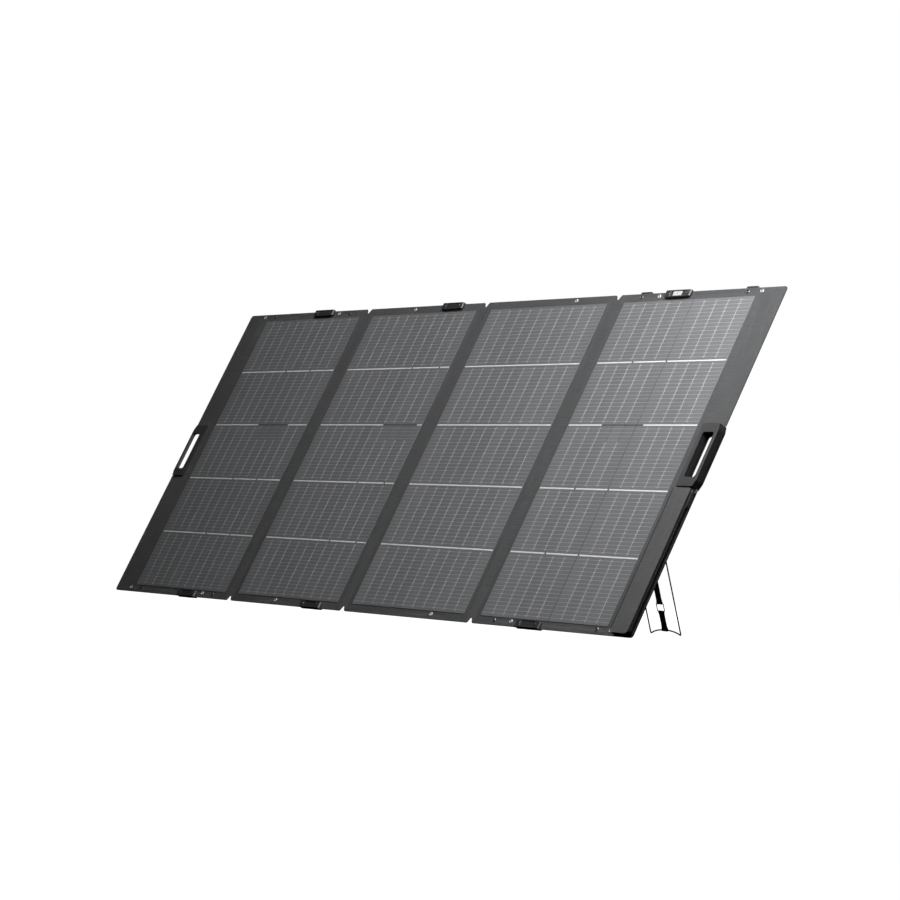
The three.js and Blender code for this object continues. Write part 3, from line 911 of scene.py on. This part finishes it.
def make_handles():
    """Both carry handles: a front and a rear shell, and the rear shell's screws."""
    for name, handle in HANDLES.items():
        slot = "grey_plastic" if name == "right" else "dark_plastic"
        front = refine(f"handle_{name}_front_shell", GREY_PLASTIC, slot, 1.1)
        # Painted shade: the front shell's walls get a darker plastic.
        paint_wall_shade(front, CLIP_PLASTIC if name == "right" else DARK_PLASTIC)
        refine(f"handle_{name}_rear_shell", DARK_PLASTIC, "dark_plastic", 0.9)
        near, far = handle["slot"]
        inner = near - HANDLE_SCREW if name == "right" else far + HANDLE_SCREW
        v0, v1 = handle["v"]
        end, along = HANDLE_SCREW_ENDS
        heights = (v0 + end, v0 + along, v1 - along, v1 - end)
        make_rear_screws(f"handle_{name}_screws", [inner], heights, handle["back"], 3.0, handle["body"])


def make_back_fittings():
    """The connection boxes and the two blocks behind section 4's top edge."""
    for section, centre in JUNCTION_CENTRES.items():
        refine(f"panel_{section}_junction_base", DARK_PLASTIC, "dark_plastic", 0.8)
        refine(f"panel_{section}_junction_lid", DARK_PLASTIC, "dark_plastic", 1.2)
        du, dv = JUNCTION_SCREW
        across, heights = (centre - du, centre + du), (JUNCTION_V - dv, JUNCTION_V + dv)
        name = f"panel_{section}_junction_screws"
        make_rear_screws(name, across, heights, JUNCTION_LID, 2.4, f"section_{section}")
    for name in ("inner", "outer"):
        refine(f"top_anchor_{name}", DARK_PLASTIC, "dark_plastic", 1.4)


def pocket_ring(inset, height):
    """One level of the pocket: its outline drawn in by an inset, at a height."""
    (u0, u1), (v0, v1) = POCKET["u"], POCKET["v"]
    radius = max(POCKET["corner"] - inset, 0.8)
    outline = rounded(u0 + inset, u1 - inset, v0 + inset, v1 - inset, radius, 6, 14)
    ring = []
    for u, v in outline:
        sway = noise.noise(Vector((u * 0.03, v * 0.022, height * 0.05)))
        ring.append((u, v, height + (0.5 * sway if inset > 3 else 0)))
    return ring


def make_pocket():
    """The zipped cable pocket: a moulded cloth box with a stitched flange round its foot."""
    face, fillet = POCKET["face"], POCKET["fillet"]
    wall_top = face - fillet
    rings = [pocket_ring(0, height) for height in (0.3, 4, 8, wall_top - 0.5, wall_top)]
    for k in range(1, 7):
        angle = math.radians(15 * k)
        rings.append(pocket_ring(fillet * (1 - math.cos(angle)), wall_top + fillet * math.sin(angle)))
    rings += [pocket_ring(fillet + inset, face + rise) for inset, rise in POCKET_CROWN]
    bm = bmesh.new()
    grow(bm, rings)
    pocket = piece("cable_pocket_cloth", bm, POCKET_FABRIC, "section_4", "pocket_fabric",
                   replaces=["cable_pocket"], angle=60)
    # Painted shade: the walls below the face's fillet take the darker cloth, so the pocket's sides and foot
    # read as shaded.
    pocket.data.materials.append(SHADED_WALL_AND_EDGE_LINE_FABRIC)
    to_sheet = SHEET.inverted()
    for polygon in pocket.data.polygons:
        if (to_sheet @ polygon.center).z < wall_top:
            polygon.material_index = 1
    make_flange()
    make_binding()
    make_zip()


def make_flange():
    """The stitched border that joins the pocket to the board."""
    (u0, u1), v1 = POCKET["u"], POCKET["v"][1]
    bm = bmesh.new()
    outer = rounded(u0 - FLANGE, u1 + 1.6, 0.4, v1 + 5, 14, 6)
    prism(bm, outer, 0.02, 1.1, 0.4)
    piece("pocket_flange", bm, POCKET_FABRIC, "section_4", "pocket_fabric")
    stitches = bmesh.new()
    for k in range(int((v1 - 24) / STITCH_PITCH)):
        v = 14 + STITCH_PITCH * k
        capsule(stitches, (u0 - 3.4, v, 1.15), (u0 - 3.4, v + STITCH, 1.15), THREAD_RADIUS)
    piece("pocket_flange_stitches", stitches, THREAD, "section_4", "pocket_fabric")


def make_binding():
    """Dark strips along the inner edge of the pocket's face and along the board's edge beside it, in the
    darker cloth of the pocket's painted wall shade.
    """
    (u0, u1), (v0, v1) = POCKET["u"], POCKET["v"]
    top = POCKET["face"]
    binding = bmesh.new()
    prism(binding, rounded(u0 + 0.4, u0 + 0.4 + BINDING, v0 + 11, v1 - 4, 1), top - 0.4, top + 0.3, 0.2)
    prism_side(binding, (6, 390), (-2.4, 1.3), u1, u1 + 2.4, 0.5)
    piece("pocket_binding", binding, SHADED_WALL_AND_EDGE_LINE_FABRIC, "section_4", "pocket_fabric")


def capsule(bm, start, end, radius):
    """A stitch: a short thread with narrowed ends."""
    start, end = Vector(start), Vector(end)
    along = end - start
    rings = []
    for share, scale in ((0, 0.3), (0.15, 0.85), (0.5, 1), (0.85, 0.85), (1, 0.3)):
        centre = start + along * share
        side = along.orthogonal().normalized()
        up = along.normalized().cross(side)
        turns = (math.pi * k / 3 for k in range(6))
        rings.append([centre + radius * scale * (math.cos(a) * side + math.sin(a) * up) for a in turns])
    grow(bm, rings)


def make_zip():
    """Zip tape, coil teeth, slider and pull on the pocket's outer side."""
    side = POCKET["u"][1]
    tape = bmesh.new()
    prism_side(tape, ZIP_ENDS, (ZIP_N - 6, ZIP_N + 4), side - 0.2, side + 0.35)
    piece("zip_tape", tape, ZIP_NYLON, "section_4", "zip", replaces=["zip_chain"])
    teeth = bmesh.new()
    start, end = ZIP_ENDS[0] + 2, ZIP_ENDS[1] - 2
    length, half = TOOTH
    for k in range(int((end - start) / TOOTH_PITCH)):
        v = start + TOOTH_PITCH * k
        prism_side(teeth, (v, v + length), (ZIP_N - half, ZIP_N + half), side + 0.3, side + 1.4, 0.45)
    piece("zip_teeth", teeth, ZIP_NYLON, "section_4", "zip")
    refine("zip_slider", SCREW_STEEL, "ring_steel", 0.45)
    make_pull()


def prism_side(bm, v, n, u0, u1, inset=0.0):
    """A block on the outer side face: limits in v and n, standing from u0 out to u1."""
    rings = []
    for u, shrink in ((u0, 0), (u1 - inset, 0), (u1, inset)):
        rings.append([(u, v[0] + shrink, n[0] + shrink), (u, v[1] - shrink, n[0] + shrink),
                      (u, v[1] - shrink, n[1] - shrink), (u, v[0] + shrink, n[1] - shrink)])
    grow(bm, rings if inset else rings[:2])


def make_pull():
    """The pull: a rounded tab with a narrow neck that hangs between the slider's lugs."""
    middle = SLIDER_FACE + PULL["lift"]
    low, high = middle - PULL["thick"] / 2, middle + PULL["thick"] / 2
    half, neck, pivot = PULL["half"], PULL["neck"], PULL["pivot_v"]
    blade = rounded(-half, half, PULL["end"], pivot - 6.5, 3.6, 6)
    stem = rounded(-neck, neck, pivot - 8, pivot + 0.8, 0.8, 3)
    bm = bmesh.new()
    for outline in (blade, stem):
        grow(bm, [[(u, v, ZIP_N + n) for n, v in outline] for u in (low, high)])
    piece("zip_pull_tab", bm, GREY_PLASTIC, "zip_pull", "zip", bevel=0.4, replaces=["zip_pull"])


# ---- legs

def leg_matrix(centre):
    """From a leg's own millimetres, hinge axis along x and wire down along -y, to the row frame."""
    return SHEET @ Matrix.Translation((centre, HINGE_V, HINGE_N)) @ Matrix.Rotation(LEG_SPREAD, 4, "X")


def leg_length():
    """From the hinge axis to the middle of the wire at the foot, which rests on the ground."""
    hinge = sheet_point(0, HINGE_V, HINGE_N).z / MM
    lean = LEG_SPREAD - (math.pi / 2 - TILT)
    return (hinge - WIRE) / math.cos(lean)


def bezier(points, steps):
    """Points along a Bezier curve of any degree."""
    result = []
    for k in range(1, steps + 1):
        work = [Vector(p) for p in points]
        while len(work) > 1:
            work = [a.lerp(b, k / steps) for a, b in zip(work, work[1:])]
        result.append(work[0])
    return result


def leg_route():
    """The wire's route: pin, bend, arm, foot, arched foot bar, and the same again mirrored."""
    foot = -leg_length()
    half, bend, foot_bend = LEG_HALF, LEG_BEND, LEG_FOOT_BEND
    route = [Vector((-half - LEG_PIN, 0, 0)), Vector((-half - bend, 0, 0))]
    route += bezier([(-half - bend, 0, 0), (-half, 0, 0), (-half, -bend, 0)], 8)
    route += bezier([(-half, -bend, 0), (-half, foot + foot_bend, 0)], 10)
    route += bezier([(-half, foot + foot_bend, 0), (-half, foot, 0), (-half + foot_bend, foot, 0)], 8)
    corner = -half + foot_bend
    top = foot + LEG_ARCH
    route += bezier([(corner, foot, 0), (corner * 0.8, foot + LEG_ARCH * 0.55, 0), (corner / 2, top, 0),
                     (0, top, 0)], 14)
    return route + [Vector((-p.x, p.y, 0)) for p in reversed(route[:-1])]


def belt(y_low, r_low, y_high, r_high, gap):
    """A closed strap round two bars whose plies lie together between them, as (y, z) points."""
    turns = [math.pi * k / 12 for k in range(13)]
    low = [(y_low - r_low * math.sin(a), r_low * math.cos(a)) for a in turns]
    high = [(y_high + r_high * math.sin(a), -r_high * math.cos(a)) for a in turns]
    near = 0.9 * gap
    behind = [(y_low + 9, -gap), (y_low + 14, -near), (y_high - 12, -near), (y_high - 8, -gap)]
    ahead = [(y, -z) for y, z in reversed(behind)]
    return low + behind + high + ahead


def make_leg(name, centre, section):
    """One wire leg with its brackets, ring and strap."""
    body = f"leg_{name}"
    place = leg_matrix(centre)
    wire = bmesh.new()
    tube(wire, leg_route(), WIRE_SHOWN, 14)
    piece(f"leg_{name}_wire_fine", wire, WIRE_STEEL, body, "steel_wire", place,
          replaces=[f"leg_{name}_wire"], angle=50)
    for side in "ab":
        refine(f"leg_{name}_bracket_{side}", DARK_PLASTIC, "dark_plastic", 1.2)

    bar = -leg_length() + LEG_ARCH
    ring_middle = bar + WIRE + RING_UP
    ring = bmesh.new()
    across, along = RING["half"]
    loop = rounded(-across, across, ring_middle - along, ring_middle + along, RING["corner"], 6)
    tube(ring, [(x, y, 0) for x, y in loop], RING["wire"], 12, closed=True)
    piece(f"leg_{name}_ring_fine", ring, WIRE_STEEL, body, "steel_wire", place,
          replaces=[f"leg_{name}_ring"], angle=50)

    lower = bmesh.new()
    route = belt(bar, 3.0, ring_middle - along, STRAP_TURN, 0.9)
    band(lower, route, STRAP_WIDTH, STRAP_THICK, closed=True)
    piece(f"leg_{name}_strap_lower_web", lower, WEBBING, body, "webbing", place,
          replaces=[f"leg_{name}_strap_lower"], angle=40)
    make_upper_strap(name, centre, section, ring_middle + along)
    make_bracket_screws(name, centre, section)


def make_upper_strap(name, centre, section, ring_bar):
    """From the ring up to a sewn patch on the board's back. It bends where it passes the hinge."""
    cos, sin = math.cos(LEG_SPREAD), math.sin(LEG_SPREAD)

    def on_sheet(y, z):
        """A point in the leg's plane as v and n of the sheet."""
        return (HINGE_V + y * cos - z * sin, HINGE_N + y * sin + z * cos)

    turn = []
    for k in range(11):
        angle = math.radians(180 * k / 10)
        turn.append(on_sheet(ring_bar - STRAP_TURN * math.sin(angle), STRAP_TURN * math.cos(angle)))
    heights = [ring_bar + y for y in (10, 60, 140, 220)] + [-60, -34]
    ply = [on_sheet(y, -0.75) for y in heights]
    tail = [on_sheet(ring_bar + y, 0.75) for y in (52, 30, 10)]
    bend = bezier([(*ply[-1], 0), (HINGE_V - 8, HINGE_N - 8, 0), (HINGE_V + 2, PATCH_N, 0),
                   (HINGE_V + 16, PATCH_N, 0)], 12)
    patch = [(HINGE_V + 24, PATCH_N), (HINGE_V + 42, PATCH_N)]
    path = tail + turn + ply + [(p.x, p.y) for p in bend] + patch
    bm = bmesh.new()
    band(bm, path, STRAP_WIDTH, STRAP_THICK)
    place = SHEET @ Matrix.Translation((centre, 0, 0))
    strap = piece(f"leg_{name}_strap_upper_web", bm, WEBBING, None, "webbing", place,
                  replaces=[f"leg_{name}_strap_upper"], angle=40)
    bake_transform(strap)
    make_patch_seam(name, place, section)


def make_patch_seam(name, place, section):
    """The crossed box of stitches that holds the strap to the board's back."""
    half, low, high = PATCH_SEAM
    v0, v1 = HINGE_V + low, HINGE_V + high
    corners = [(-half, v0), (half, v0), (half, v1), (-half, v1)]
    sides = list(zip(corners, corners[1:] + corners[:1]))
    diagonals = [(corners[0], corners[2]), (corners[1], corners[3])]
    stitches = bmesh.new()
    for start, end in sides + diagonals:
        add_seam(stitches, start, end, PATCH_N - STRAP_THICK / 2 - 0.1)
    piece(f"leg_{name}_patch_stitches", stitches, THREAD, section, "webbing", place)


def add_seam(bm, start, end, height):
    """A line of stitches between two points of the sheet."""
    start, end = Vector((*start, height)), Vector((*end, height))
    count = max(1, int((end - start).length / SEAM_PITCH))
    for k in range(count):
        capsule(bm, start.lerp(end, k / count), start.lerp(end, (k + 0.7) / count), THREAD_RADIUS)


def make_bracket_screws(name, centre, section):
    """Two screws in each of a leg's brackets."""
    across = (centre - BRACKET["out"], centre + BRACKET["out"])
    heights = (HINGE_V + BRACKET["screw"], HINGE_V - BRACKET["screw"])
    make_rear_screws(f"leg_{name}_bracket_screws", across, heights, BRACKET["back"], 2.0, section)


# ---- camera, light and floor

def facing(away):
    """The turn that points a camera's or a lamp's back, its own +Z, along a direction."""
    return away.to_track_quat("Z", "Y").to_matrix().to_4x4()


def make_camera():
    """The camera looks at its target from an azimuth, where 0 looks along +Y and 90 along -X."""
    data = bpy.data.cameras.new("camera")
    data.lens = LENS
    data.sensor_width = 36
    camera = add_object("camera", data)
    away = Vector((math.sin(CAMERA_AZIMUTH) * math.cos(CAMERA_ELEVATION),
                   -math.cos(CAMERA_AZIMUTH) * math.cos(CAMERA_ELEVATION),
                   math.sin(CAMERA_ELEVATION)))
    turn = facing(away) @ Matrix.Rotation(CAMERA_ROLL, 4, "Z")
    camera.matrix_world = Matrix.Translation(CAMERA_TARGET + away * CAMERA_DISTANCE) @ turn
    bpy.context.scene.camera = camera


def add_area(name, place, target, size, power):
    """A soft rectangular lamp that faces its target."""
    data = bpy.data.lights.new(name, "AREA")
    data.shape = "RECTANGLE"
    data.size, data.size_y = size
    data.energy = power
    light = add_object(name, data)
    light.visible_diffuse = name not in GLOSS_ONLY
    light.matrix_world = Matrix.Translation(place) @ facing(place - target)


def make_lights():
    """Soft lamps over the panel's front, stronger on the right, and one behind."""
    for name, (place, target, size, power) in LAMPS.items():
        add_area(name, sheet_point(*place), sheet_point(*target), size, power)
    world = bpy.data.worlds.new("studio")
    bpy.context.scene.world = world
    world.use_nodes = True
    world.node_tree.nodes["Background"].inputs["Color"].default_value = (1, 1, 1, 1)
    world.cycles_visibility.diffuse = False
    world.cycles_visibility.glossy = False
    world.cycles_visibility.transmission = False


def make_floor():
    """A plain pale floor, evenly bright."""
    bm = bmesh.new()
    prism(bm, rectangle(-FLOOR_HALF, FLOOR_HALF, -FLOOR_HALF, FLOOR_HALF), -FLOOR_THICK, 0)
    floor = add_mesh("floor", bm)
    nodes = Nodes("pale_floor")
    nodes.surface(Base_Color=FLOOR_COLOR, Roughness=1.0, Specular_IOR_Level=0.0)
    nodes.surface(Emission_Color=(1, 1, 1, 1), Emission_Strength=FLOOR_GLOW)
    floor.data.materials.append(nodes.material)
    floor.visible_diffuse = False
    floor.visible_glossy = False


def set_colour_management():
    """Plain output with no film look."""
    view = bpy.context.scene.view_settings
    view.view_transform = "Standard"
    view.look = "None"
    view.exposure = 0
    view.gamma = 1


make_camera()
make_lights()
make_floor()
set_colour_management()
make_boards()
make_folds()
make_cells()
make_eyelets()
make_clips()
make_handles()
make_back_fittings()
make_pocket()
for leg_name, (leg_centre, leg_section) in LEGS.items():
    make_leg(leg_name, leg_centre, leg_section)
